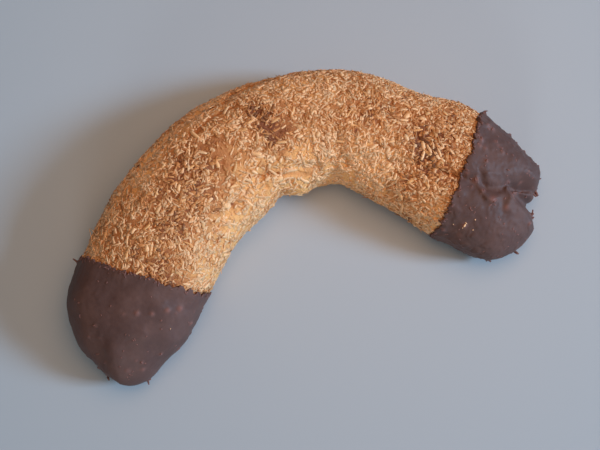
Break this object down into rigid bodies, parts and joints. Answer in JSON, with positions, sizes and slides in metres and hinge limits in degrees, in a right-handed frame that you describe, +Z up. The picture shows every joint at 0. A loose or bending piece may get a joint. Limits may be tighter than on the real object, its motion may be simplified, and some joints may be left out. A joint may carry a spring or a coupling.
{
  "type": "coconut crescent cookie",
  "caption": "Bent roll of baked dough covered in coconut shreds, flat underneath, with both rounded ends dipped in dark chocolate.",
  "frame": {"origin": "middle of the bounding box, on the surface that the cookie lies on", "axes": "+X from the left tip to the right tip, +Y towards the bulge of the crescent, +Z up from the flat underside"},
  "size_m": [0.1512, 0.0776, 0.0256],
  "materials": {
    "baked_coconut": null,
    "chocolate": null
  },
  "bodies": {
    "root": {"coconut_crescent": "baked_coconut", "chocolate_left": "chocolate", "chocolate_right": "chocolate"}
  },
  "joints": []
}
